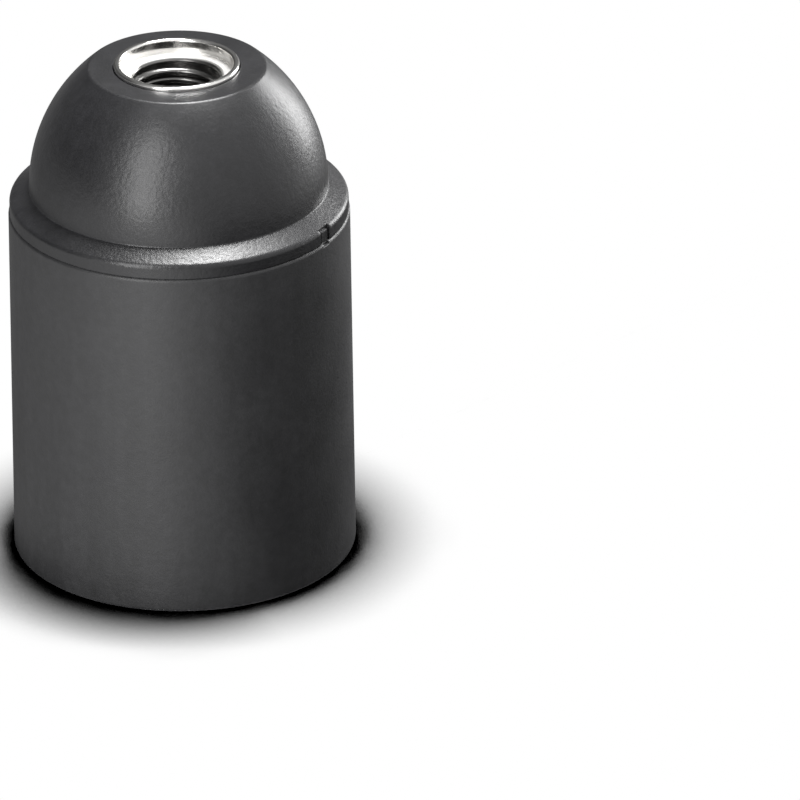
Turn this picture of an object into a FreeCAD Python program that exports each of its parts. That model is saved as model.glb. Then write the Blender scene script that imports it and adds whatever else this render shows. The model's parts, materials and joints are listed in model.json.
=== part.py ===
import FreeCAD, Part
import Sketcher

import math
import os
import re

# Lamp holder: skirt with threaded sleeve, domed cap with a metal entry bush, and a terminal insert
# with its contacts and screws. Millimetres. The origin is the centre of the mouth rim, which the
# holder stands on, +Z runs up through the dome and -Y is the front.

PLUG_SIDES = 8
NUT_SIDES = 6

# Driving sizes. Each can be changed by itself.
SIZES = {
    # skirt, outside
    "mouth_r": 20.0,
    "skirt_top_r": 19.7,
    "skirt_top": 42.2,
    "skirt_round": 0.4,
    "rim_face": 0.8,
    "rim_bevel": 1.2,
    # skirt, inside
    "skirt_wall": 1.5,
    "bore_draft": 0.3,
    "collar_wall": 1.8,
    "collar_lead": 0.4,
    "shelf_top": 30.0,
    "shelf_thick": 1.5,
    # threaded sleeve in the skirt
    "sleeve_rim": 9.4,
    "sleeve_bore_r": 13.35,
    "sleeve_wall": 1.15,
    "sleeve_lead": 0.3,
    "ridge_high": 1.1,
    "ridge_round": 1.45,
    "ridge_pitch": 3.629,
    "ridge_turns": 2.75,
    "ridge_in": 1.7,
    # ribs between sleeve and skirt
    "rib_count": 8,
    "rib_thick": 0.9,
    "rib_low": 0.2,
    "rib_proud": 1.5,
    "bite": 0.25,
    # cap
    "flange_step": 0.15,
    "flange_edge": 1.6,
    "flange_round": 0.6,
    "shoulder_high": 2.9,
    "dome_r": 17.25,
    "dome_high": 14.9,
    "dome_curve_r": 19.3,
    "dome_wall": 1.75,
    "crown_round": 0.5,
    "crown_thick": 4.0,
    "spigot_gap": 0.9,
    "spigot_long": 6.0,
    "key_x": 7.0,
    "key_thick": 1.5,
    "key_above": 4.0,
    "key_play": 0.15,
    # latch in the cap's flange and its mark in the skirt's edge
    "latch_angle": 60.0,
    "latch_slot": 0.45,
    "latch_wide": 1.3,
    "latch_deep": 0.45,
    "latch_back": 0.2,
    "latch_mark": 0.4,
    # entry bush, its washer and its nut
    "entry_r": 5.0,
    "entry_lead": 0.4,
    "stem_wall": 1.0,
    "stem_long": 8.0,
    "cup_r": 6.5,
    "cup_wall": 0.75,
    "cup_deep": 1.6,
    "cup_floor_thick": 0.4,
    "cup_round": 0.25,
    "bush_proud": 0.5,
    "bush_play": 0.1,
    "washer_wide": 2.4,
    "washer_thick": 0.6,
    "nut_wall": 1.5,
    "nut_thick": 2.4,
    # insert
    "plug_gap": 1.15,
    "plug_long": 4.0,
    "insert_gap": 0.75,
    "insert_flange": 2.0,
    "block_gap": 0.4,
    "block_flat": 8.5,
    "block_high": 11.5,
    "pocket_deep": 5.5,
    "barrier": 3.2,
    "wire_wide": 6.0,
    "face_mark_r": 0.7,
    "face_mark_deep": 0.25,
    # terminals
    "plate_thick": 1.5,
    "plate_margin": 0.3,
    "plate_gap": 0.4,
    "clamp_long": 6.2,
    "clamp_half": 3.4,
    "clamp_thick": 1.0,
    "clamp_play": 0.2,
    "screw_r": 1.4,
    "screw_play": 0.05,
    "screw_long": 7.0,
    "screw_clear": 0.5,
    "screw_head_r": 2.6,
    "screw_head": 1.8,
    "screw_slot": 0.6,
    "slot_deep": 0.9,
    "rivet_r": 1.0,
    "rivet_head_r": 1.2,
    "rivet_head": 0.6,
    "rivet_play": 0.1,
    # centre contact
    "leaf_half": 2.4,
    "leaf_thick": 0.5,
    "leaf_foot_out": 1.5,
    "leaf_foot_in": 1.9,
    "leaf_rise": 2.5,
    "leaf_flat": 1.6,
    "leaf_tip": 2.6,
    "leaf_air": 0.5,
    "channel_deep": 1.2,
    "channel_side": 0.5,
    "channel_past": 1.0,
    # side contact
    "tongue_gap": 0.23,
    "tongue_thick": 0.4,
    "tongue_half": 2.5,
    "tongue_past_face": 1.6,
    "lip_long": 0.9,
    "lip_out": 0.35,
    "foot_air": 0.25,
    "tongue_play": 0.3,
    "tongue_swing": 0.85,
}

# Places and sizes that follow from the driving sizes.
PLACES = {
    "rim_face_r": "mouth_r - rim_face",
    "mouth_bore_r": "mouth_r - skirt_wall",
    "deep_bore_r": "mouth_bore_r - bore_draft",
    "collar_bore_r": "skirt_top_r - collar_wall",
    "shelf_low": "shelf_top - shelf_thick",
    "sleeve_r": "sleeve_bore_r + sleeve_wall",
    "ridge_start": "sleeve_rim + ridge_in",
    "ridge_foot": "ridge_high + bite",
    "ridge_half": "sqrt(ridge_round^2 - (ridge_round - ridge_foot)^2)",
    "flange_r": "skirt_top_r - flange_step",
    "flange_top": "skirt_top + flange_edge",
    "shoulder_top": "skirt_top + shoulder_high",
    "shoulder_fall": "atan((shoulder_top - flange_top) / (flange_r - dome_r))",
    "flange_cut": "flange_round * tan((90 deg - shoulder_fall) / 2)",
    "cap_top": "shoulder_top + dome_high",
    "dome_in": "dome_r - dome_curve_r",
    "crown_r": "dome_in + sqrt((dome_curve_r - crown_round)^2 - (dome_high - crown_round)^2)",
    "crown_share": "dome_curve_r / (dome_curve_r - crown_round)",
    "crown_edge_r": "dome_in + (crown_r - dome_in) * crown_share",
    "crown_edge": "shoulder_top + (dome_high - crown_round) * crown_share",
    "ceiling": "cap_top - crown_thick",
    "ceiling_r": "dome_in + sqrt((dome_curve_r - dome_wall)^2 - (dome_high - crown_thick)^2)",
    "cap_bore_r": "dome_r - dome_wall",
    "spigot_end": "skirt_top - spigot_long",
    "spigot_r": "collar_bore_r - spigot_gap",
    "key_out": "sqrt(dome_r^2 - (key_x + key_thick)^2) - dome_wall + bite",
    "key_in": "block_flat + key_play",
    "stem_r": "entry_r + stem_wall",
    "bush_r": "cup_r + cup_wall",
    "bush_top": "cap_top + bush_proud",
    "cup_floor": "bush_top - cup_deep",
    "bush_seat": "cup_floor - cup_floor_thick",
    "stem_end": "bush_seat - stem_long",
    "washer_r": "stem_r + washer_wide",
    "washer_low": "ceiling - washer_thick",
    "nut_corner_r": f"(stem_r + nut_wall) / cos({180 / NUT_SIDES} deg)",
    "nut_low": "washer_low - nut_thick",
    "plug_r": "sleeve_bore_r - plug_gap",
    "face": "shelf_top - plug_long",
    "insert_flange_r": "collar_bore_r - insert_gap",
    "insert_flange_top": "shelf_top + insert_flange",
    "block_r": "cap_bore_r - block_gap",
    "block_side": "sqrt(block_r^2 - block_flat^2)",
    "block_top": "insert_flange_top + block_high",
    "pocket_floor": "block_top - pocket_deep",
    "plate_in": "barrier / 2 + plate_gap",
    "screw_x": "plate_in + clamp_long / 2",
    "rivet_x": "screw_x + clamp_long / 2 + plate_margin + rivet_head_r",
    "plate_out": "rivet_x + rivet_head_r + plate_margin",
    "plate_half": "clamp_half + clamp_play",
    "pocket_out": "plate_out + plate_gap / 2",
    "pocket_half": "plate_half + plate_gap",
    "plate_top": "pocket_floor + plate_thick",
    "clamp_top": "plate_top + clamp_thick",
    "screw_end": "clamp_top - screw_long",
    "screw_top": "clamp_top + screw_head",
    "channel_top": "face + channel_deep",
    "channel_half": "leaf_half + channel_side",
    "leaf_high": "channel_top - leaf_air",
    "leaf_low": "leaf_high - leaf_thick",
    "leaf_end": "rivet_x + leaf_foot_out",
    "leaf_bend": "rivet_x - leaf_foot_in",
    "tongue_in": f"plug_r * cos({180 / PLUG_SIDES} deg) + tongue_gap",
    "tongue_out": "tongue_in + tongue_thick",
    "tongue_end": "face - tongue_past_face",
    "tongue_room": "tongue_out + tongue_swing",
    "slot_half": "tongue_half + tongue_play",
    "foot_low": "pocket_floor - tongue_thick",
    "foot_in": "rivet_x - rivet_head_r - plate_margin",
    "foot_room": "foot_low - foot_air",
}

doc = FreeCAD.newDocument("lamp_holder")
sizes = doc.addObject("Spreadsheet::Sheet", "Sizes")
places = doc.addObject("Spreadsheet::Sheet", "Places")
WORDS = re.compile(r"\b[a-z][a-z_]*\b")


def bound(formula):
    """The formula with each size's or place's name written as a reference to its sheet."""
    def reference(match):
        word = match.group(0)
        if word in SIZES:
            return "Sizes." + word
        return "Places." + word if word in PLACES else word
    return WORDS.sub(reference, str(formula))


for row, (alias, size) in enumerate(SIZES.items(), start=1):
    sizes.set(f"A{row}", alias)
    sizes.set(f"B{row}", str(size))
    sizes.setAlias(f"B{row}", alias)
doc.recompute()
for row, alias in enumerate(PLACES, start=1):
    places.set(f"A{row}", alias)
    places.setAlias(f"B{row}", alias)
for row, formula in enumerate(PLACES.values(), start=1):
    places.set(f"B{row}", "=" + bound(formula).replace("Places.", ""))
doc.recompute()


def value(formula):
    return float(sizes.evalExpression(bound(formula)))


def bind(thing, prop, formula):
    thing.setExpression(prop, bound(formula))


def new_body(name):
    body = doc.addObject("PartDesign::Body", name)
    body.Label = name
    return body


def flat_sketch(body, name, plane, lift="0"):
    sketch = body.newObject("Sketcher::SketchObject", f"{body.Label}_{name}")
    support = next(f for f in body.Origin.OriginFeatures if f.Role == plane)
    sketch.AttachmentSupport = [(support, "")]
    sketch.MapMode = "FlatFace"
    bind(sketch, "AttachmentOffset.Base.z", lift)
    return sketch


def place(sketch, geo, spot, x, y):
    """Ties one point of the sketch to two formulas, measured from the sketch's origin."""
    for kind, formula in (("DistanceX", x), ("DistanceY", y)):
        if value(formula) == 0.0:
            axis = -2 if kind == "DistanceX" else -1
            sketch.addConstraint(Sketcher.Constraint("PointOnObject", geo, spot, axis))
            continue
        row = sketch.addConstraint(Sketcher.Constraint(kind, -1, 1, geo, spot, value(formula)))
        bind(sketch, f"Constraints[{row}]", formula)


def arc_between(start, end, radius, turn):
    """The short arc from start to end: turn is 1 where it bends left and -1 where it bends right."""
    chord = end - start
    half = chord.Length / 2
    side = FreeCAD.Vector(-chord.y, chord.x, 0).normalize() * turn
    middle = (start + end) / 2 + side * math.sqrt(max(radius**2 - half**2, 0.0))
    ends = [math.atan2(p.y - middle.y, p.x - middle.x) for p in (start, end)]
    if turn < 0:
        ends.reverse()
    circle = Part.Circle(middle, FreeCAD.Vector(0, 0, 1), radius)
    return Part.ArcOfCircle(circle, ends[0], ends[1])


def outline(sketch, points):
    """A closed outline. Each point is (x, y), or (x, y, radius, turn) where an arc follows it."""
    spots = [FreeCAD.Vector(value(p[0]), value(p[1]), 0) for p in points]
    ends = []
    for i, point in enumerate(points):
        start, end = spots[i], spots[(i + 1) % len(points)]
        if len(point) == 2:
            geo = sketch.addGeometry(Part.LineSegment(start, end), False)
            ends.append((geo, 1, 2))
            continue
        geo = sketch.addGeometry(arc_between(start, end, value(point[2]), point[3]), False)
        ends.append((geo, 1, 2) if point[3] > 0 else (geo, 2, 1))
    for i, point in enumerate(points):
        geo, first, last = ends[i]
        follower, its_first, _ = ends[(i + 1) % len(points)]
        sketch.addConstraint(Sketcher.Constraint("Coincident", geo, last, follower, its_first))
        place(sketch, geo, first, point[0], point[1])
        if len(point) == 4:
            row = sketch.addConstraint(Sketcher.Constraint("Radius", geo, value(point[2])))
            bind(sketch, f"Constraints[{row}]", point[2])


def disc(sketch, x, y, radius):
    spot = FreeCAD.Vector(value(x), value(y), 0)
    geo = sketch.addGeometry(Part.Circle(spot, FreeCAD.Vector(0, 0, 1), value(radius)), False)
    place(sketch, geo, 3, x, y)
    row = sketch.addConstraint(Sketcher.Constraint("Radius", geo, value(radius)))
    bind(sketch, f"Constraints[{row}]", radius)


def feature(body, kind, name, sketch):
    made = body.newObject(f"PartDesign::{kind}", f"{body.Label}_{name}")
    made.Profile = sketch
    body.Tip = made
    return made


def turned(body, name, points, kind="Revolution"):
    """A turned shape, from an outline of (radius, height) points."""
    sketch = flat_sketch(body, f"{name}_outline", "XZ_Plane")
    outline(sketch, points)
    made = feature(body, kind, name, sketch)
    made.ReferenceAxis = (sketch, ["V_Axis"])
    made.Angle = 360
    return made


def box_points(x0, x1, y0, y1):
    return [(x0, y0), (x1, y0), (x1, y1), (x0, y1)]


def raised(body, name, low, high, points=None, circle=None, cut=False):
    """Material between two heights, or a cut between them, from an outline or a circle seen from above."""
    sketch = flat_sketch(body, f"{name}_outline", "XY_Plane", high if cut else low)
    if points:
        outline(sketch, points)
    if circle:
        disc(sketch, *circle)
    made = feature(body, "Pocket" if cut else "Pad", name, sketch)
    bind(made, "Length", f"({high}) - ({low})")
    return made


def upright(body, name, points, half, cut=False):
    """Material, or a cut, that spreads both ways from the XZ plane, from an outline of (x, z) points."""
    sketch = flat_sketch(body, f"{name}_outline", "XZ_Plane")
    outline(sketch, points)
    made = feature(body, "Pocket" if cut else "Pad", name, sketch)
    made.Midplane = True
    bind(made, "Length", f"2 * ({half})")
    return made


def around(body, original, name, count):
    """The same feature repeated about the Z axis."""
    pattern = body.newObject("PartDesign::PolarPattern", f"{body.Label}_{name}")
    pattern.Originals = [original]
    pattern.Axis = (original.Profile[0], ["V_Axis"])
    pattern.Angle = 360
    bind(pattern, "Occurrences", count)
    body.Tip = pattern
    return pattern


def polygon_points(corners, radius, first_degrees):
    step = 360 / corners
    angles = [first_degrees + step * i for i in range(corners)]
    return [(f"({radius}) * cos({a} deg)", f"({radius}) * sin({a} deg)") for a in angles]


def latch_box(left, right, near, far):
    """A box outline at the latch: across it from left to right, and outwards from near to far."""
    out_x, out_y = "sin(latch_angle * 1 deg)", "-cos(latch_angle * 1 deg)"
    along_x, along_y = "cos(latch_angle * 1 deg)", "sin(latch_angle * 1 deg)"
    spots = [(near, left), (far, left), (far, right), (near, right)]
    return [(f"({u}) * {out_x} + ({v}) * {along_x}", f"({u}) * ({out_y}) + ({v}) * {along_y}")
            for u, v in spots]


def make_skirt():
    """Outer shell, shelf and threaded sleeve in one moulding, with ribs between sleeve and wall."""
    body = new_body("skirt")
    turned(body, "shell", [
        ("rim_face_r", "0"),
        ("mouth_r - skirt_round", "0", "skirt_round", 1),
        ("mouth_r", "skirt_round"),
        ("skirt_top_r", "skirt_top - skirt_round", "skirt_round", 1),
        ("skirt_top_r - skirt_round", "skirt_top"),
        ("collar_bore_r + collar_lead", "skirt_top"),
        ("collar_bore_r", "skirt_top - collar_lead"),
        ("collar_bore_r", "shelf_top"),
        ("sleeve_bore_r", "shelf_top"),
        ("sleeve_bore_r", "sleeve_rim + sleeve_lead"),
        ("sleeve_bore_r + sleeve_lead", "sleeve_rim"),
        ("sleeve_r - sleeve_lead", "sleeve_rim"),
        ("sleeve_r", "sleeve_rim + sleeve_lead"),
        ("sleeve_r", "shelf_low"),
        ("deep_bore_r", "shelf_low"),
        ("mouth_bore_r", "rim_bevel"),
    ])
    rib = upright(body, "rib", [
        ("sleeve_r - bite", "sleeve_rim + rib_low"),
        ("mouth_bore_r + bite", "sleeve_rim - rib_proud"),
        ("mouth_bore_r + bite", "shelf_low + bite"),
        ("sleeve_r - bite", "shelf_low + bite"),
    ], "rib_thick / 2")
    around(body, rib, "ribs", "rib_count")
    ridge = flat_sketch(body, "ridge_outline", "XZ_Plane")
    outline(ridge, [
        ("sleeve_bore_r + bite", "ridge_start - ridge_half"),
        ("sleeve_bore_r + bite", "ridge_start + ridge_half", "ridge_round", 1),
    ])
    thread = feature(body, "AdditiveHelix", "ridge", ridge)
    thread.ReferenceAxis = (ridge, ["V_Axis"])
    thread.Mode = 0
    bind(thread, "Pitch", "ridge_pitch")
    bind(thread, "Height", "ridge_pitch * ridge_turns")
    raised(body, "latch_mark", "skirt_top - latch_mark", "skirt_top", latch_box(
        "-latch_wide / 2", "latch_wide / 2", "flange_r - latch_back", "skirt_top_r + bite"), cut=True)
    return body


def make_cap():
    """Dome with its sloping shoulder, the spigot that enters the skirt, key ribs and the bush's seat."""
    body = new_body("cap")
    turned(body, "dome", [
        ("stem_r + bush_play", "ceiling"),
        ("ceiling_r", "ceiling", "dome_curve_r - dome_wall", -1),
        ("cap_bore_r", "shoulder_top"),
        ("cap_bore_r", "spigot_end"),
        ("spigot_r", "spigot_end"),
        ("spigot_r", "skirt_top"),
        ("flange_r", "skirt_top"),
        ("flange_r", "flange_top - flange_cut", "flange_round", 1),
        ("flange_r - flange_cut * cos(shoulder_fall)", "flange_top + flange_cut * sin(shoulder_fall)"),
        ("dome_r", "shoulder_top", "dome_curve_r", 1),
        ("crown_edge_r", "crown_edge", "crown_round", 1),
        ("crown_r", "cap_top"),
        ("bush_r + bush_play", "cap_top"),
        ("bush_r + bush_play", "bush_seat"),
        ("stem_r + bush_play", "bush_seat"),
    ])
    for name, x_side in (("right", 1), ("left", -1)):
        for end, y_side in (("back", 1), ("front", -1)):
            raised(body, f"key_{end}_{name}", "spigot_end", "shoulder_top + key_above", box_points(
                f"{x_side} * key_x", f"{x_side} * (key_x + key_thick)",
                f"{y_side} * key_in", f"{y_side} * key_out"))
    full = "(latch_slot * 2 + latch_wide)"
    raised(body, "latch_slots", "skirt_top", "shoulder_top", latch_box(
        f"-{full} / 2", f"{full} / 2", "flange_r - latch_deep", "flange_r + bite"), cut=True)
    raised(body, "latch", "skirt_top", "flange_top - latch_back", latch_box(
        "-latch_wide / 2", "latch_wide / 2", "flange_r - latch_deep - bite", "flange_r - latch_back"))
    return body


def make_bush():
    """Metal bush: a cup in the crown and a stem with the tube's thread bore."""
    body = new_body("entry_bush")
    turned(body, "turning", [
        ("entry_r", "stem_end"),
        ("stem_r", "stem_end"),
        ("stem_r", "bush_seat"),
        ("bush_r", "bush_seat"),
        ("bush_r", "bush_top - cup_round", "cup_round", 1),
        ("bush_r - cup_round", "bush_top"),
        ("cup_r + cup_round", "bush_top", "cup_round", 1),
        ("cup_r", "bush_top - cup_round"),
        ("cup_r", "cup_floor"),
        ("entry_r + entry_lead", "cup_floor"),
        ("entry_r", "cup_floor - entry_lead"),
    ])
    return body


def make_bush_washer():
    body = new_body("bush_washer")
    turned(body, "ring", box_points("stem_r + bush_play", "washer_r", "washer_low", "ceiling"))
    return body


def make_bush_nut():
    body = new_body("bush_nut")
    raised(body, "hexagon", "nut_low", "washer_low", polygon_points(NUT_SIDES, "nut_corner_r", 0))
    raised(body, "bore", "nut_low", "washer_low", circle=("0", "0", "stem_r + bush_play / 2"), cut=True)
    return body


def make_insert():
    """Terminal block: an eight-sided plug in the sleeve, a flange on the shelf and two screw pockets."""
    body = new_body("insert")
    turned(body, "flange", box_points("0", "insert_flange_r", "shelf_top", "insert_flange_top"))
    raised(body, "plug", "face", "shelf_top", polygon_points(PLUG_SIDES, "plug_r", 180 / PLUG_SIDES))
    raised(body, "block", "insert_flange_top", "block_top", [
        ("block_side", "-block_flat", "block_r", 1),
        ("block_side", "block_flat"),
        ("-block_side", "block_flat", "block_r", 1),
        ("-block_side", "-block_flat"),
    ])
    for name, way in (("centre", -1), ("side", 1)):
        near = f"{way} * barrier / 2"
        raised(body, f"{name}_pocket", "pocket_floor", "block_top", box_points(
            near, f"{way} * pocket_out", "-pocket_half", "pocket_half"), cut=True)
        wire = f"{way} * (screw_x - wire_wide / 2)", f"{way} * (screw_x + wire_wide / 2)"
        raised(body, f"{name}_wire_way", "plate_top", "block_top", box_points(
            *wire, "-block_flat - bite", "-pocket_half + bite"), cut=True)
        raised(body, f"{name}_screw_hole", "screw_end - screw_clear", "pocket_floor",
               circle=(f"{way} * screw_x", "0", "screw_r + screw_clear"), cut=True)
        raised(body, f"{name}_face_mark", "face", "face + face_mark_deep",
               circle=("screw_x / 2", f"{way} * (plug_r + channel_half) / 2", "face_mark_r"), cut=True)
    raised(body, "centre_rivet_hole", "face", "pocket_floor",
           circle=("-rivet_x", "0", "rivet_r + rivet_play"), cut=True)
    upright(body, "leaf_channel",
            box_points("-plug_r", "leaf_tip + channel_past", "face - bite", "channel_top"),
            "channel_half", cut=True)
    raised(body, "foot_recess", "foot_room", "pocket_floor", box_points(
        "foot_in - tongue_play", "tongue_room", "-slot_half", "slot_half"), cut=True)
    raised(body, "tongue_slot", "face", "pocket_floor + foot_air", box_points(
        "tongue_in - tongue_gap / 2", "tongue_room", "-slot_half", "slot_half"), cut=True)
    raised(body, "side_rivet_hole", "foot_room - rivet_head", "pocket_floor",
           circle=("rivet_x", "0", "rivet_r + rivet_play"), cut=True)
    return body


def make_terminal(name, way):
    """Brass plate on the pocket's floor, with a hole for its screw and one for its rivet."""
    body = new_body(f"{name}_terminal")
    raised(body, "plate", "pocket_floor", "plate_top", box_points(
        f"{way} * plate_in", f"{way} * plate_out", "-plate_half", "plate_half"))
    for hole, x, radius in (("screw", "screw_x", "screw_r + screw_play"), ("rivet", "rivet_x", "rivet_r")):
        raised(body, f"{hole}_hole", "pocket_floor", "plate_top",
               circle=(f"{way} * {x}", "0", radius), cut=True)
    return body


def make_clamp(name, way):
    """Square plate that the screw's head presses on the wire."""
    body = new_body(f"{name}_clamp")
    raised(body, "plate", "plate_top", "clamp_top", box_points(
        f"{way} * (screw_x - clamp_long / 2)", f"{way} * (screw_x + clamp_long / 2)",
        "-clamp_half", "clamp_half"))
    raised(body, "hole", "plate_top", "clamp_top",
           circle=(f"{way} * screw_x", "0", "screw_r + clamp_play"), cut=True)
    return body


def make_screw(name, way):
    """Slotted terminal screw, upright, with its head on the clamp plate."""
    body = new_body(f"{name}_screw")
    spot = f"{way} * screw_x"
    raised(body, "shank", "screw_end", "clamp_top", circle=(spot, "0", "screw_r"))
    raised(body, "head", "clamp_top", "screw_top", circle=(spot, "0", "screw_head_r"))
    raised(body, "slot", "screw_top - slot_deep", "screw_top", box_points(
        f"{spot} - screw_head_r - bite", f"{spot} + screw_head_r + bite",
        "-screw_slot / 2", "screw_slot / 2"), cut=True)
    return body


def make_centre_rivet():
    """Rivet from the leaf's foot, through the insert, to the terminal plate."""
    body = new_body("centre_rivet")
    raised(body, "shank", "leaf_low", "plate_top", circle=("-rivet_x", "0", "rivet_r"))
    raised(body, "lower_head", "leaf_low - rivet_head", "leaf_low", circle=("-rivet_x", "0", "rivet_head_r"))
    raised(body, "upper_head", "plate_top", "plate_top + rivet_head",
           circle=("-rivet_x", "0", "rivet_head_r"))
    return body


def make_side_rivet():
    """Rivet through the terminal plate and the side contact's foot."""
    body = new_body("side_rivet")
    raised(body, "shank", "foot_room - rivet_head / 2", "plate_top", circle=("rivet_x", "0", "rivet_r"))
    raised(body, "head", "plate_top", "plate_top + rivet_head", circle=("rivet_x", "0", "rivet_head_r"))
    return body


def make_centre_contact():
    """Leaf spring: a foot in the channel, a slope towards the mouth and a flat end under the lamp's tip."""
    body = new_body("centre_contact")
    upright(body, "leaf", [
        ("-leaf_end", "leaf_low"),
        ("-leaf_bend", "leaf_low"),
        ("-leaf_flat", "leaf_low - leaf_rise"),
        ("leaf_tip", "leaf_low - leaf_rise"),
        ("leaf_tip", "leaf_high - leaf_rise"),
        ("-leaf_flat", "leaf_high - leaf_rise"),
        ("-leaf_bend", "leaf_high"),
        ("-leaf_end", "leaf_high"),
    ], "leaf_half")
    raised(body, "hole", "leaf_low", "leaf_high",
           circle=("-rivet_x", "0", "(rivet_r + rivet_head_r) / 2"), cut=True)
    return body


def make_side_contact():
    """Tinned strip: a foot under the terminal plate and a tongue down beside the plug, its end flared out."""
    body = new_body("side_contact")
    upright(body, "strip", [
        ("foot_in", "foot_low"),
        ("tongue_in", "foot_low"),
        ("tongue_in", "tongue_end"),
        ("tongue_in + lip_out", "tongue_end - lip_long"),
        ("tongue_out + lip_out", "tongue_end - lip_long"),
        ("tongue_out", "tongue_end"),
        ("tongue_out", "pocket_floor"),
        ("foot_in", "pocket_floor"),
    ], "tongue_half")
    raised(body, "hole", "foot_low", "pocket_floor",
           circle=("rivet_x", "0", "(rivet_r + rivet_head_r) / 2"), cut=True)
    return body


pieces = [make_skirt(), make_cap(), make_bush(), make_bush_washer(), make_bush_nut(), make_insert(),
          make_centre_rivet(), make_centre_contact(), make_side_rivet(), make_side_contact()]
for terminal, way in (("centre", -1), ("side", 1)):
    pieces += [make_terminal(terminal, way), make_clamp(terminal, way), make_screw(terminal, way)]

doc.recompute()
for thing in doc.Objects:
    if "Invalid" in thing.State or "Error" in thing.State:
        raise RuntimeError(f"{thing.Label} failed: {thing.State}")

os.makedirs("parts", exist_ok=True)
for piece in pieces:
    if piece.Shape.isNull() or not piece.Shape.isValid():
        raise RuntimeError(f"{piece.Label} has no valid shape")
    piece.Shape.exportStep(f"parts/{piece.Label}.step")
    print(piece.Label, len(piece.Shape.Solids), round(piece.Shape.Volume, 1))
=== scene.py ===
import json
import math

import bpy
from mathutils import Matrix, Vector


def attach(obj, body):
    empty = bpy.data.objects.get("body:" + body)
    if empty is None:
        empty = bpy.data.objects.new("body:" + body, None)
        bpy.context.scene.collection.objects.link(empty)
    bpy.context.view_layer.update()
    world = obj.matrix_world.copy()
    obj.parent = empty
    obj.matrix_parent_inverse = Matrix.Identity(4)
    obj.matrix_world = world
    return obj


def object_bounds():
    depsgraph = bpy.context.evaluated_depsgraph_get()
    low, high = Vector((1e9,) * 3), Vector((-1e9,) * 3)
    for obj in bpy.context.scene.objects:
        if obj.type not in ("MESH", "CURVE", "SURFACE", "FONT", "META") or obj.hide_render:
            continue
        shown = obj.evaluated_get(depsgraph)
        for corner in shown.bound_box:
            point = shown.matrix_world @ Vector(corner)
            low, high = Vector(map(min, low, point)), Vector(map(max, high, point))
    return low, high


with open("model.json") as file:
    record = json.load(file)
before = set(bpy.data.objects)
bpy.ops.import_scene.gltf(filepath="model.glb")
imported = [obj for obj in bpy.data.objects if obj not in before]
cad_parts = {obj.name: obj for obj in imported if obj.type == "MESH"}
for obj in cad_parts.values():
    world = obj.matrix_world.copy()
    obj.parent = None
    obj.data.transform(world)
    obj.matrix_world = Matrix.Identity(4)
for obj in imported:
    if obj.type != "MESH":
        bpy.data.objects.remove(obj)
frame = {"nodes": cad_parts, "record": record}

# Looks of the lamp holder: the threads that are too fine for the solids, every finish, the floor,
# the studio light and the camera. Metres, in the solids' frame: +Z up, -Y the front.
# An azimuth is 0 at the front and grows to the right.

MM = 0.001
cad_low, cad_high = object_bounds()

# Camera, as found from the photograph: angles in radians, the holder's base in the camera's own axes
FOCAL_PIXELS = 9817.0
PHOTO_WIDE = 800.0
SENSOR_WIDE = 36.0
CAMERA_ELEVATION = 0.4533
CAMERA_ROLL = -0.0076
BASE_FROM_CAMERA = Vector((-25.16 * MM, 15.73 * MM, 1150.07 * MM))
CLIP_NEAR = 0.05
CLIP_FAR = 20.0

# Threads: radii of root and crest, pitch and the ends of the stretch that carries them
BUSH_THREAD = {
    "root": 5.0 * MM, "crest": 4.46 * MM, "pitch": 1.0 * MM, "low": 50.7 * MM, "high": 58.4 * MM,
}
CAP_THREAD = {
    "root": 17.0 * MM, "crest": 17.65 * MM, "pitch": 2.0 * MM, "low": 36.4 * MM, "high": 41.8 * MM,
}
SKIRT_THREAD = {
    "root": 17.9 * MM, "crest": 17.25 * MM, "pitch": 2.0 * MM, "low": 32.8 * MM, "high": 41.5 * MM,
}
# A ridge's rounded outline: places along the axis in pitches, and heights as shares of its depth
RIDGE = ((-0.42, 0.0), (-0.27, 0.55), (-0.13, 0.9), (0.0, 1.0), (0.13, 0.9), (0.27, 0.55), (0.42, 0.0))
# How deep its foot is sunk in the wall, its steps in a turn and in the taper at each end
THREAD_SINK = 0.03 * MM
TURN_STEPS = 72
TAPER_STEPS = 18
# The share of its depth at the tip of the taper, and the angle above which an edge stays sharp
THINNEST = 0.02
SHARP_ANGLE = math.radians(70)

# Linear colours
WHITE = (1.0, 1.0, 1.0, 1.0)
SKIRT_GREY = (0.023, 0.023, 0.024)
CAP_GREY = (0.012, 0.012, 0.013)
INSERT_GREY = (0.022, 0.022, 0.023)
NICKEL = (0.80, 0.79, 0.77)
ZINC = (0.62, 0.64, 0.66)
TIN = (0.80, 0.80, 0.78)
BRASS = (0.72, 0.53, 0.24)
# Tarnish on tin and brass: the share of each channel that it leaves
TIN_TARNISH = (0.86, 0.86, 0.84)
BRASS_TARNISH = (0.75, 0.66, 0.5)

# Noise is scaled in lumps a metre. Its middle, between these two values, is what spreads over a range.
NOISE_LOW = 0.3
NOISE_HIGH = 0.7
# Between the rounded and the plain normal: the cosine on an edge, and off it
ON_EDGE = 0.86
OFF_EDGE = 0.995
EDGE_SAMPLES = 6

# Moulded plastic: how far each noise sways the tone and the roughness to either side
GRAIN = 4000.0
GRAIN_TONE = 0.10
GRAIN_ROUGH = 0.03
STREAKS = 420.0
STREAKS_DRAWN = (1.0, 1.0, 0.06)
STREAK_TONE = 0.10
CLOUDS = 110.0
CLOUD_TONE = 0.12
CLOUD_ROUGH = 0.04
MOTTLE = 900.0
MOTTLE_TONE = 0.14
MOULDED_SPECULAR = 0.4
# Its lumps are whole below the first height, and this share of them is left above the second
LUMPS = 1700.0
UNEVEN_BELOW = 57.5 * MM
SMOOTH_ABOVE = 59.5 * MM
SMOOTH_SHARE = 0.1
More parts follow.
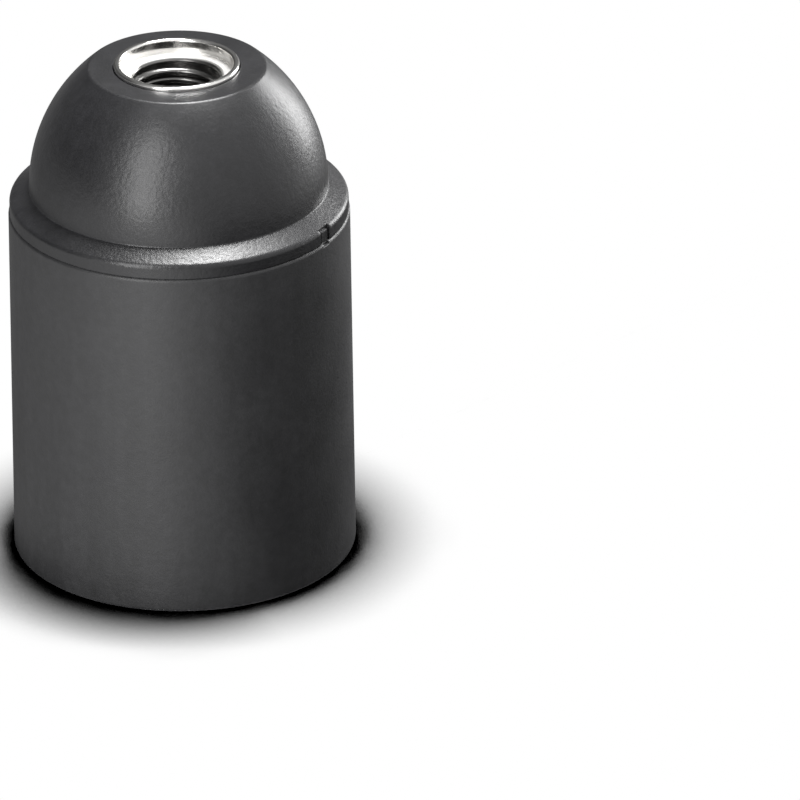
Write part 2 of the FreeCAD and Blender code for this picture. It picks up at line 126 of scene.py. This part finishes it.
# Its edges: radius, how many times lighter a painted highlight makes them, how much smoother they are rubbed,
# and how fully the highlight covers them
MOULDED_EDGE = 0.22 * MM
EDGE_HIGHLIGHT_LIGHTER = 4.0
RUBBED_SMOOTHER = 0.08
EDGE_HIGHLIGHT_LEAST = 0.3
EDGE_HIGHLIGHT_MOST = 0.8

# Turned metal: tool marks, stains that dull it and polished edges
TOOL_MARKS = 9000.0
MARK_HIGH = 0.004 * MM
MARK_ROUGH = 0.03
STAINS = 300.0
STAIN_DARKEST = 0.88
STAIN_PALEST = 1.06
STAIN_DULLER = 0.05
STAIN_BRIGHTER = 0.03
TURNED_EDGE = 0.1 * MM
TURNED_SMOOTHER = 0.04
# How far from the holder's axis the axes of the terminal screws lie
SCREW_X = 5.1 * MM
# The bush's bore is darkened inside this radius, a painted shade: the width of the change, its share of the
# tone, its roughness
BORE_EDGE = 5.15 * MM
BORE_FADE = 0.15 * MM
BORE_SHARE = 0.2
BORE_ROUGH = 0.26
# The floor of the bush's cup is satin below this height: the height of the change, its roughness
CUP_FLOOR = 59.0 * MM
CUP_FADE = 0.1 * MM
CUP_ROUGH = 0.42

# Rolled metal: rolling lines, tarnish and sheared edges
ROLLING_LINES = 5200.0
LINES_DRAWN = (0.05, 1.0, 1.0)
LINE_HIGH = 0.0015 * MM
LINE_ROUGH = 0.04
TARNISH = 420.0
TARNISH_MOST = 0.7
CLEAN_SMOOTHER = 0.05
TARNISH_DULLER = 0.08
SHEARED_EDGE = 0.1 * MM
SHEARED_LIGHTER = 1.1
SHEARED_SHARE = 0.6

# Room: its light on matt surfaces
ROOM_LIGHT = 0.12
# What glossy surfaces see of it: brightest right of the front and dim on the far side,
# and the cosines of the angle from the bright side at which it is wholly so
GLOSS_BRIGHT = 1.1
GLOSS_DIM = 0.08
BRIGHT_AZIMUTH = math.radians(50)
BRIGHT_FACING = 0.6
DIM_FACING = -0.7

# Floor: half its width, and how far it lies below the mouth's rim
FLOOR_HALF = 3.0
FLOOR_BELOW = 0.05 * MM
# What glossy surfaces see of it, a painted light and shade: brightest left of the front, dim at the right and
# the back
FLOOR_LIT = 2.4
FLOOR_DIM = 0.06
LEFT_SHARE = 0.12
LIT_AZIMUTH = math.radians(-12)
DIM_RIGHT = math.radians(38)
DIM_LEFT = math.radians(-120)
# The share of it that is left near the foot, a painted shade there, and where it is whole again
FLOOR_NEAR = 0.5
NEAR_FROM = 25.0 * MM
NEAR_TO = 75.0 * MM
# The floor far out on the right, pale again
FLOOR_FAR = 0.95
FAR_FROM = 100.0 * MM
FAR_TO = 180.0 * MM
# The floor within this reach is under the mouth
MOUTH_REACH = 18.5 * MM
# Painted shadow at the holder's foot: its reach, and the shares of open sky at which it is full and gone
FOOT_SHADE = 16.0 * MM
SHADE_SAMPLES = 32
SHADE_FULL = 0.62
SHADE_GONE = 0.914
# Where it is deepest, the cosine from there at which it starts to deepen, and its powers
SHADE_AZIMUTH = math.radians(-28)
SHADE_FACING = 0.6
SHADE_PLAIN = 0.65
SHADE_DEEPEST = 1.6

# Lamps: name, azimuth and elevation in degrees, distance, width, height, power, and whether glossy
# surfaces mirror it
LAMPS = (
    ("front_left_box", -27, 20, 0.6, 0.22, 0.7, 4.8, True),
    ("top_box", 152, 75, 0.5, 0.18, 0.18, 6.0, True),
    ("back_right_box", 133, 11, 0.6, 0.22, 0.42, 3.6, True),
    ("small_spot", -28, 58, 0.6, 0.035, 0.035, 0.12, True),
    ("under_box", 0, -90, 0.5, 0.15, 0.15, 4.0, False),
)


def new_material(name):
    material = bpy.data.materials.new(name)
    material.use_nodes = True
    material.node_tree.nodes.clear()
    return material, material.node_tree


def add(tree, kind, inputs=None, **settings):
    """One node, with its settings, and its inputs set or linked."""
    node = tree.nodes.new("ShaderNode" + kind)
    for key, setting in settings.items():
        setattr(node, key, setting)
    for socket, given in (inputs or {}).items():
        if isinstance(given, bpy.types.NodeSocket):
            tree.links.new(given, node.inputs[socket])
        else:
            node.inputs[socket].default_value = given
    return node


def noise(tree, spots, scale, detail=2.0, stretch=None):
    """Noise from 0 to 1, drawn out along an axis if stretch says so."""
    if stretch:
        spots = add(tree, "Mapping", {"Vector": spots, "Scale": stretch}).outputs["Vector"]
    return add(tree, "TexNoise", {"Vector": spots, "Scale": scale, "Detail": detail}).outputs["Fac"]


def span(tree, given, low, high, from_low=NOISE_LOW, from_high=NOISE_HIGH):
    """The given value, spread from low to high, and held at them beyond its own two ends."""
    return add(tree, "MapRange", {
        "Value": given, "From Min": from_low, "From Max": from_high, "To Min": low, "To Max": high,
    }).outputs["Result"]


def blend(tree, share, low, high):
    """The low value where the share is 0, the high one where it is 1."""
    return span(tree, share, low, high, 0.0, 1.0)


def sway(tree, given, swing, middle=1.0):
    """The given noise, spread by the swing to either side of the middle."""
    return span(tree, given, middle - swing, middle + swing)


def reckon(tree, operation, *given):
    return add(tree, "Math", dict(enumerate(given)), operation=operation).outputs[0]


def mixed(tree, share, first, second):
    """A colour between two others."""
    node = add(tree, "Mix", {0: share, 6: first, 7: second}, data_type="RGBA")
    return node.outputs[2]


def toned(tree, colour, tone):
    """The colour, made lighter or darker by the tone."""
    return add(tree, "VectorMath", {0: colour, "Scale": tone}, operation="SCALE").outputs["Vector"]


def raised(tree, height, distance, normal):
    """The normal, bumped by the height."""
    return add(tree, "Bump", {
        "Strength": 1.0, "Distance": distance, "Height": height, "Normal": normal,
    }).outputs["Normal"]


def soft_edges(tree, radius):
    """The normal with its edges rounded to the radius, and a mask that is 1 on those edges."""
    bevel = add(tree, "Bevel", {"Radius": radius}, samples=EDGE_SAMPLES).outputs["Normal"]
    flat = add(tree, "NewGeometry").outputs["Normal"]
    match = add(tree, "VectorMath", {0: bevel, 1: flat}, operation="DOT_PRODUCT").outputs["Value"]
    return bevel, span(tree, match, 1.0, 0.0, ON_EDGE, OFF_EDGE)


def finished(material, tree, inputs):
    surface = add(tree, "BsdfPrincipled", inputs).outputs["BSDF"]
    add(tree, "OutputMaterial", {"Surface": surface})
    return material


def moulded_plastic(name, colour, roughness, grain_high, lump_high):
    """Satin moulding: grain over shallow lumps, flow streaks, clouds, mottling, and a painted highlight on
    its smoother edges.
    """
    material, tree = new_material(name)
    spots = add(tree, "TexCoord").outputs["Object"]
    grain = noise(tree, spots, GRAIN)
    streaks = noise(tree, spots, STREAKS, 3.0, STREAKS_DRAWN)
    clouds = noise(tree, spots, CLOUDS, 4.0)
    mottle = noise(tree, spots, MOTTLE, 3.0)
    normal, edge_mask = soft_edges(tree, MOULDED_EDGE)
    tone = reckon(tree, "MULTIPLY", sway(tree, streaks, STREAK_TONE), sway(tree, clouds, CLOUD_TONE))
    tone = reckon(tree, "MULTIPLY", tone, sway(tree, grain, GRAIN_TONE))
    tone = reckon(tree, "MULTIPLY", tone, sway(tree, mottle, MOTTLE_TONE))
    # Painted highlight: the edges are made lighter, as where light catches their rounding
    edge_highlight = tuple(c * EDGE_HIGHLIGHT_LIGHTER for c in colour) + (1.0,)
    edge_highlight_share = reckon(tree, "MULTIPLY", edge_mask, span(tree, mottle, EDGE_HIGHLIGHT_LEAST, EDGE_HIGHLIGHT_MOST))
    base = mixed(tree, edge_highlight_share, toned(tree, colour, tone), edge_highlight)
    rough = reckon(tree, "ADD", sway(tree, clouds, CLOUD_ROUGH, roughness),
                   sway(tree, grain, GRAIN_ROUGH, 0.0))
    rough = reckon(tree, "SUBTRACT", rough, reckon(tree, "MULTIPLY", edge_mask, RUBBED_SMOOTHER))
    height = add(tree, "SeparateXYZ", {"Vector": spots}).outputs["Z"]
    left = span(tree, height, 1.0, SMOOTH_SHARE, UNEVEN_BELOW, SMOOTH_ABOVE)
    lumps = reckon(tree, "MULTIPLY", noise(tree, spots, LUMPS), left)
    normal = raised(tree, lumps, lump_high, normal)
    normal = raised(tree, grain, grain_high, normal)
    return finished(material, tree, {
        "Base Color": base, "Roughness": rough, "Normal": normal, "Specular IOR Level": MOULDED_SPECULAR,
    })


def turned_metal(name, colour, roughness, axis_x=0.0, bored=False):
    """Plated turning: rings of fine tool marks about its axis, with dull stains, and a painted shade
    darkening its bore if bored.
    """
    material, tree = new_material(name)
    spots = add(tree, "TexCoord").outputs["Object"]
    shifted = add(tree, "VectorMath", {0: spots, 1: (-axis_x, 0.0, 0.0)}, operation="ADD").outputs["Vector"]
    apart = add(tree, "SeparateXYZ", {"Vector": shifted}).outputs
    flat = add(tree, "CombineXYZ", {"X": apart["X"], "Y": apart["Y"]}).outputs["Vector"]
    reach = add(tree, "VectorMath", {0: flat}, operation="LENGTH").outputs["Value"]
    along = {"W": reckon(tree, "ADD", reach, apart["Z"]), "Scale": TOOL_MARKS, "Detail": 2.0}
    marks = add(tree, "TexNoise", along, noise_dimensions="1D").outputs["Fac"]
    stains = noise(tree, spots, STAINS, 4.0)
    normal, edge_mask = soft_edges(tree, TURNED_EDGE)
    tone = span(tree, stains, STAIN_DARKEST, STAIN_PALEST)
    rough = reckon(tree, "ADD", span(tree, stains, roughness + STAIN_DULLER, roughness - STAIN_BRIGHTER),
                   sway(tree, marks, MARK_ROUGH, 0.0))
    rough = reckon(tree, "SUBTRACT", rough, reckon(tree, "MULTIPLY", edge_mask, TURNED_SMOOTHER))
    if bored:
        # Painted shade: the tone inside the bore is darkened
        outside = span(tree, reach, 0.0, 1.0, BORE_EDGE, BORE_EDGE + BORE_FADE)
        tone = reckon(tree, "MULTIPLY", tone, blend(tree, outside, BORE_SHARE, 1.0))
        sunk = span(tree, apart["Z"], 1.0, 0.0, CUP_FLOOR, CUP_FLOOR + CUP_FADE)
        rough = blend(tree, reckon(tree, "MULTIPLY", outside, sunk), rough, CUP_ROUGH)
        rough = blend(tree, outside, BORE_ROUGH, rough)
    return finished(material, tree, {
        "Base Color": toned(tree, colour, tone), "Metallic": 1.0, "Roughness": rough,
        "Normal": raised(tree, marks, MARK_HIGH, normal),
    })


def rolled_metal(name, colour, roughness, tarnish):
    """Strip or plate: rolling lines along X, cloudy tarnish and brighter sheared edges."""
    material, tree = new_material(name)
    spots = add(tree, "TexCoord").outputs["Object"]
    lines = noise(tree, spots, ROLLING_LINES, 3.0, LINES_DRAWN)
    clouds = noise(tree, spots, TARNISH, 4.0)
    normal, edge_mask = soft_edges(tree, SHEARED_EDGE)
    dull = tuple(c * t for c, t in zip(colour, tarnish)) + (1.0,)
    bright = tuple(min(1.0, c * SHEARED_LIGHTER) for c in colour) + (1.0,)
    base = mixed(tree, span(tree, clouds, 0.0, TARNISH_MOST), colour + (1.0,), dull)
    base = mixed(tree, reckon(tree, "MULTIPLY", edge_mask, SHEARED_SHARE), base, bright)
    rough = reckon(tree, "ADD", span(tree, clouds, roughness - CLEAN_SMOOTHER, roughness + TARNISH_DULLER),
                   sway(tree, lines, LINE_ROUGH, 0.0))
    return finished(material, tree, {
        "Base Color": base, "Metallic": 1.0, "Roughness": rough,
        "Normal": raised(tree, lines, LINE_HIGH, normal),
    })


def thread(name, start, root, crest, pitch, low, high):
    """A right-handed thread ridge on a wall of the root's radius, tapered off at both ends. Carried on to
    height 0 it would stand there the start's share of a turn past +X."""
    depth = crest - root
    sunk = root - math.copysign(THREAD_SINK, depth)
    half_foot = RIDGE[-1][0] * pitch
    first, last = low + half_foot, high - half_foot
    steps = int(TURN_STEPS * (last - first) / pitch)
    count = len(RIDGE) + 2
    corners, faces = [], []
    for i in range(steps + 1):
        z = first + (last - first) * i / steps
        angle = 2 * math.pi * (z / pitch + start)
        grown = max(min(1.0, i / TAPER_STEPS, (steps - i) / TAPER_STEPS), THINNEST)
        outline = [(root + depth * share * grown, place * pitch) for place, share in RIDGE]
        for radius, rise in [(sunk, -half_foot), *outline, (sunk, half_foot)]:
            corners.append((radius * math.cos(angle), radius * math.sin(angle), z + rise))
    for i in range(steps):
        for k in range(count):
            a, b = i * count + k, i * count + (k + 1) % count
            faces.append((a, a + count, b + count, b))
    faces.append(tuple(range(count)))
    faces.append(tuple(steps * count + k for k in reversed(range(count))))
    mesh = bpy.data.meshes.new(name)
    mesh.from_pydata(corners, [], faces)
    if depth < 0:
        mesh.flip_normals()
    for face in mesh.polygons:
        face.use_smooth = True
    piece = bpy.data.objects.new(name, mesh)
    bpy.context.scene.collection.objects.link(piece)
    piece.modifiers.new("edges", "EDGE_SPLIT").split_angle = SHARP_ANGLE
    return piece


def dress(piece, material):
    if piece.material_slots:
        for held in piece.material_slots:
            held.material = material
    else:
        piece.data.materials.append(material)


def add_threads(materials):
    rows = [
        ("bush_thread", BUSH_THREAD, 0.0, "cap", "bush_metal"),
        ("cap_thread", CAP_THREAD, 0.0, "cap", "cap_plastic"),
        ("skirt_thread", SKIRT_THREAD, 0.5, "shell", "skirt_plastic"),
    ]
    for name, sizes, start, body, slot in rows:
        piece = thread(name, start, **sizes)
        dress(piece, materials[slot])
        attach(piece, body)


def dress_nodes(materials):
    """Every solid gets its slot's finish, or the one for its own side, where there is one."""
    slots = {row["node"]: row["material_slot"] for row in frame["record"]["subparts"]}
    for name, node in frame["nodes"].items():
        slot = slots[name]
        side = name.split("_")[0]
        dress(node, materials.get(f"{slot}_{side}", materials[slot]))


def make_floor():
    """A white floor that glows, dark only at the holder's foot, where a shadow is painted. From below it is
    clear, and under the mouth glossy surfaces see the room through it, so that the mouth can be looked into."""
    material, tree = new_material("white_floor")
    path = add(tree, "LightPath").outputs
    seen = reckon(tree, "MAXIMUM", path["Is Camera Ray"], path["Is Transmission Ray"])
    spots = add(tree, "TexCoord").outputs["Object"]
    reach = add(tree, "VectorMath", {0: spots}, operation="LENGTH").outputs["Value"]
    under_mouth = reckon(tree, "LESS_THAN", reach, MOUTH_REACH)
    shown = reckon(tree, "MAXIMUM", seen, reckon(tree, "SUBTRACT", path["Is Glossy Ray"], under_mouth))
    behind = add(tree, "NewGeometry").outputs["Backfacing"]
    shown = reckon(tree, "MULTIPLY", shown, reckon(tree, "SUBTRACT", 1.0, behind))
    apart = add(tree, "SeparateXYZ", {"Vector": spots}).outputs
    azimuth = reckon(tree, "ARCTAN2", apart["X"], reckon(tree, "MULTIPLY", apart["Y"], -1.0))
    facing = reckon(tree, "COSINE", reckon(tree, "SUBTRACT", azimuth, SHADE_AZIMUTH))
    power = span(tree, facing, SHADE_PLAIN, SHADE_DEEPEST, SHADE_FACING, 1.0)
    open_sky = add(tree, "AmbientOcclusion", {"Distance": FOOT_SHADE}, samples=SHADE_SAMPLES).outputs["AO"]
    # Painted shadow: the glowing floor is darkened where its open sky is small, most towards the front left
    painted_shadow = reckon(tree, "POWER", span(tree, open_sky, 0.0, 1.0, SHADE_FULL, SHADE_GONE), power)
    # Painted light and shade in what glossy surfaces see of the floor: bright left of the front, dim at the
    # right, the back and near the foot
    right_fall = span(tree, azimuth, FLOOR_LIT, FLOOR_DIM, LIT_AZIMUTH, DIM_RIGHT)
    left_fall = span(tree, azimuth, LEFT_SHARE, 1.0, DIM_LEFT, LIT_AZIMUTH)
    near = span(tree, reach, FLOOR_NEAR, 1.0, NEAR_FROM, NEAR_TO)
    far_right = span(tree, apart["X"], 0.0, FLOOR_FAR, FAR_FROM, FAR_TO)
    mirrored = reckon(tree, "MULTIPLY", reckon(tree, "MULTIPLY", right_fall, left_fall), near)
    mirrored = reckon(tree, "MAXIMUM", mirrored, far_right)
    strength = reckon(tree, "MULTIPLY", blend(tree, seen, mirrored, 1.0), painted_shadow)
    pale = add(tree, "Emission", {"Color": WHITE, "Strength": strength}).outputs["Emission"]
    clear = add(tree, "BsdfTransparent").outputs["BSDF"]
    surface = add(tree, "MixShader", {0: shown, 1: clear, 2: pale}).outputs["Shader"]
    add(tree, "OutputMaterial", {"Surface": surface})
    half, z = FLOOR_HALF, -FLOOR_BELOW
    corners = [(-half, -half, z), (half, -half, z), (half, half, z), (-half, half, z)]
    mesh = bpy.data.meshes.new("floor")
    mesh.from_pydata(corners, [], [(0, 1, 2, 3)])
    mesh.materials.append(material)
    floor = bpy.data.objects.new("floor", mesh)
    bpy.context.scene.collection.objects.link(floor)


def make_world():
    """White behind the object, a plain grey room for the light that reaches it, and a brighter side of
    the room for glossy surfaces to mirror."""
    world = bpy.data.worlds.new("studio")
    world.use_nodes = True
    tree = world.node_tree
    tree.nodes.clear()
    path = add(tree, "LightPath").outputs
    seen = reckon(tree, "MAXIMUM", path["Is Camera Ray"], path["Is Transmission Ray"])
    way = add(tree, "TexCoord").outputs["Generated"]
    bright_way = (math.sin(BRIGHT_AZIMUTH), -math.cos(BRIGHT_AZIMUTH), 0.0)
    facing = add(tree, "VectorMath", {0: way, 1: bright_way}, operation="DOT_PRODUCT").outputs["Value"]
    gloss = span(tree, facing, GLOSS_DIM, GLOSS_BRIGHT, DIM_FACING, BRIGHT_FACING)
    strength = blend(tree, path["Is Glossy Ray"], blend(tree, seen, ROOM_LIGHT, 1.0), gloss)
    back = add(tree, "Background", {"Color": WHITE, "Strength": strength}).outputs["Background"]
    add(tree, "OutputWorld", {"Surface": back})
    bpy.context.scene.world = world


def lamp(name, azimuth, elevation, far, wide, high, power, mirrored):
    """A soft box, aimed at the middle of the holder. The camera never sees it, and glossy surfaces only
    if it is mirrored."""
    turn, rise = math.radians(azimuth), math.radians(elevation)
    away = Vector((math.sin(turn) * math.cos(rise), -math.cos(turn) * math.cos(rise), math.sin(rise)))
    light = bpy.data.lights.new(name, "AREA")
    light.shape = "RECTANGLE"
    light.size, light.size_y, light.energy = wide, high, power
    holder = bpy.data.objects.new(name, light)
    holder.location = (cad_low + cad_high) / 2 + away * far
    holder.rotation_mode = "QUATERNION"
    holder.rotation_quaternion = (-away).to_track_quat("-Z", "Y")
    holder.visible_camera = False
    holder.visible_glossy = mirrored
    bpy.context.scene.collection.objects.link(holder)


def make_camera():
    right = Vector((1.0, 0.0, 0.0))
    down = Vector((0.0, -math.sin(CAMERA_ELEVATION), -math.cos(CAMERA_ELEVATION)))
    forward = Vector((0.0, math.cos(CAMERA_ELEVATION), -math.sin(CAMERA_ELEVATION)))
    roll_cos, roll_sin = math.cos(CAMERA_ROLL), math.sin(CAMERA_ROLL)
    right, down = right * roll_cos - down * roll_sin, right * roll_sin + down * roll_cos
    place = -(right * BASE_FROM_CAMERA.x + down * BASE_FROM_CAMERA.y + forward * BASE_FROM_CAMERA.z)
    optics = bpy.data.cameras.new("camera")
    optics.sensor_fit = "HORIZONTAL"
    optics.sensor_width = SENSOR_WIDE
    optics.lens = FOCAL_PIXELS / PHOTO_WIDE * SENSOR_WIDE
    optics.clip_start, optics.clip_end = CLIP_NEAR, CLIP_FAR
    camera = bpy.data.objects.new("camera", optics)
    turned = Matrix((right, -down, -forward)).transposed()
    camera.matrix_world = Matrix.Translation(place) @ turned.to_4x4()
    bpy.context.scene.collection.objects.link(camera)
    bpy.context.scene.camera = camera


finishes = {
    "skirt_plastic": moulded_plastic(
        "skirt_plastic_look", SKIRT_GREY, roughness=0.46, grain_high=0.014 * MM, lump_high=0.02 * MM),
    "cap_plastic": moulded_plastic(
        "cap_plastic_look", CAP_GREY, roughness=0.36, grain_high=0.014 * MM, lump_high=0.034 * MM),
    "insert_plastic": moulded_plastic(
        "insert_plastic_look", INSERT_GREY, roughness=0.42, grain_high=0.008 * MM, lump_high=0.01 * MM),
    "bush_metal": turned_metal("bush_metal_look", NICKEL, roughness=0.13, bored=True),
    "plated_steel": turned_metal("plated_steel_look", ZINC, roughness=0.28),
    "plated_steel_centre": turned_metal("centre_screw_look", ZINC, roughness=0.28, axis_x=-SCREW_X),
    "plated_steel_side": turned_metal("side_screw_look", ZINC, roughness=0.28, axis_x=SCREW_X),
    "tinned": rolled_metal("tinned_look", TIN, roughness=0.3, tarnish=TIN_TARNISH),
    "brass": rolled_metal("brass_look", BRASS, roughness=0.3, tarnish=BRASS_TARNISH),
}
dress_nodes(finishes)
add_threads(finishes)

make_floor()
make_world()
for row in LAMPS:
    lamp(*row)
make_camera()
bpy.context.scene.view_settings.view_transform = "Standard"
